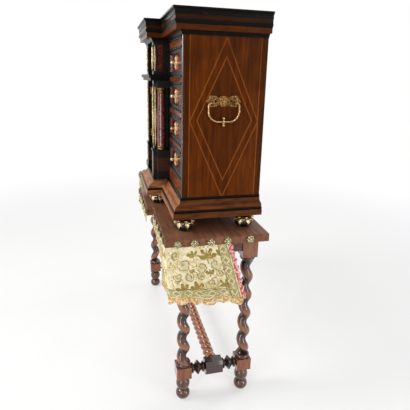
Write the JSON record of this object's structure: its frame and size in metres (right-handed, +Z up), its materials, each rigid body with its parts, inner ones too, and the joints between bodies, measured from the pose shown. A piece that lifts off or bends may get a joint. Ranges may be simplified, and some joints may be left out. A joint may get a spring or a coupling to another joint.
{
  "type": "cabinet on stand",
  "caption": "Period cabinet with drawer wings, a columned centre with a door and bun feet, on a barley-twist stand with a nailed cloth valance.",
  "frame": {"origin": "on the floor, at the middle of the outline's width and depth", "axes": "+X to the right of a viewer who faces the drawers, +Y to the back, +Z up"},
  "size_m": [1.1958, 0.4636, 1.64],
  "materials": {
    "stand_walnut": "polished walnut",
    "stand_board": "polished walnut board",
    "cloth": "woven cream cloth, embroidered",
    "gilt_brass": "gilt",
    "handle_brass": "aged brass",
    "foot_wood": "ebonised, polished",
    "side_veneer": "polished veneer with stringing",
    "plain_wood": "plain sawn softwood",
    "front_frame": "ebonised, polished",
    "ebonised": "ebonised, polished",
    "band_veneer": "polished veneer",
    "shell": "polished red tortoiseshell veneer",
    "drawer_wood": "polished front on plain boards"
  },
  "bodies": {
    "cabinet": {"leg_front_right": "stand_walnut", "leg_front_left": "stand_walnut", "leg_back_right": "stand_walnut", "leg_back_left": "stand_walnut", "end_stretcher_right": "stand_walnut", "end_stretcher_left": "stand_walnut", "long_stretcher": "stand_walnut", "stand_rails": "stand_walnut", "stand_top": "stand_board", "valance_cloth": "cloth", "rosette_studs": "gilt_brass", "foot_mounts": "gilt_brass", "column_mounts": "gilt_brass", "pier_mounts": "gilt_brass", "handle_plates": "handle_brass", "door_hinge_pins": "handle_brass", "bun_feet": "foot_wood", "side_panel_right": "side_veneer", "side_panel_left": "side_veneer", "back_boards": "plain_wood", "carcass_bottom": "plain_wood", "carcass_top": "plain_wood", "inner_partitions": "plain_wood", "dust_boards": "plain_wood", "wing_frame_right": "front_frame", "wing_frame_left": "front_frame", "centre_frame": "front_frame", "centre_piers": "front_frame", "centre_pedestals": "front_frame", "centre_entablature": "front_frame", "base_mouldings": "ebonised", "cornice_mouldings": "ebonised", "base_bands": "band_veneer", "cornice_bands": "band_veneer", "columns": "shell"},
    "centre_door": {"centre_door": "front_frame", "door_mount": "gilt_brass", "door_hinge_leaves": "handle_brass"},
    "attic_drawer": {"attic_drawer": "drawer_wood", "attic_drawer_mount": "gilt_brass"},
    "bail_right": {"bail_right": "handle_brass"},
    "bail_left": {"bail_left": "handle_brass"},
    "drawer_right_1": {"drawer_right_1": "drawer_wood", "drawer_right_1_mount": "gilt_brass"},
    "drawer_right_2": {"drawer_right_2": "drawer_wood", "drawer_right_2_mount": "gilt_brass"},
    "drawer_right_3": {"drawer_right_3": "drawer_wood", "drawer_right_3_mount": "gilt_brass"},
    "drawer_right_4": {"drawer_right_4": "drawer_wood", "drawer_right_4_mount": "gilt_brass"},
    "drawer_left_1": {"drawer_left_1": "drawer_wood", "drawer_left_1_mount": "gilt_brass"},
    "drawer_left_2": {"drawer_left_2": "drawer_wood", "drawer_left_2_mount": "gilt_brass"},
    "drawer_left_3": {"drawer_left_3": "drawer_wood", "drawer_left_3_mount": "gilt_brass"},
    "drawer_left_4": {"drawer_left_4": "drawer_wood", "drawer_left_4_mount": "gilt_brass"}
  },
  "joints": [
    {"name": "drawer_right_1_slide", "type": "slide", "parent": "cabinet", "child": "drawer_right_1", "axis": [0, -1, 0], "range_m": [0, 0.2]},
    {"name": "drawer_right_2_slide", "type": "slide", "parent": "cabinet", "child": "drawer_right_2", "axis": [0, -1, 0], "range_m": [0, 0.2]},
    {"name": "drawer_right_3_slide", "type": "slide", "parent": "cabinet", "child": "drawer_right_3", "axis": [0, -1, 0], "range_m": [0, 0.2]},
    {"name": "drawer_right_4_slide", "type": "slide", "parent": "cabinet", "child": "drawer_right_4", "axis": [0, -1, 0], "range_m": [0, 0.2]},
    {"name": "drawer_left_1_slide", "type": "slide", "parent": "cabinet", "child": "drawer_left_1", "axis": [0, -1, 0], "range_m": [0, 0.2]},
    {"name": "drawer_left_2_slide", "type": "slide", "parent": "cabinet", "child": "drawer_left_2", "axis": [0, -1, 0], "range_m": [0, 0.2]},
    {"name": "drawer_left_3_slide", "type": "slide", "parent": "cabinet", "child": "drawer_left_3", "axis": [0, -1, 0], "range_m": [0, 0.2]},
    {"name": "drawer_left_4_slide", "type": "slide", "parent": "cabinet", "child": "drawer_left_4", "axis": [0, -1, 0], "range_m": [0, 0.2]},
    {"name": "attic_drawer_slide", "type": "slide", "parent": "cabinet", "child": "attic_drawer", "axis": [0, -1, 0], "range_m": [0, 0.22]},
    {"name": "centre_door_hinge", "type": "hinge", "parent": "cabinet", "child": "centre_door", "pos_m": [-0.0832, -0.14935, 1.23], "axis": [0, 0, -1], "range_deg": [0, 90]},
    {"name": "bail_right_pivot", "type": "hinge", "parent": "cabinet", "child": "bail_right", "pos_m": [0.487, 0.04985, 1.31], "axis": [0, -1, 0], "range_deg": [0, 170]},
    {"name": "bail_left_pivot", "type": "hinge", "parent": "cabinet", "child": "bail_left", "pos_m": [-0.487, 0.04985, 1.31], "axis": [0, 1, 0], "range_deg": [0, 170]}
  ]
}
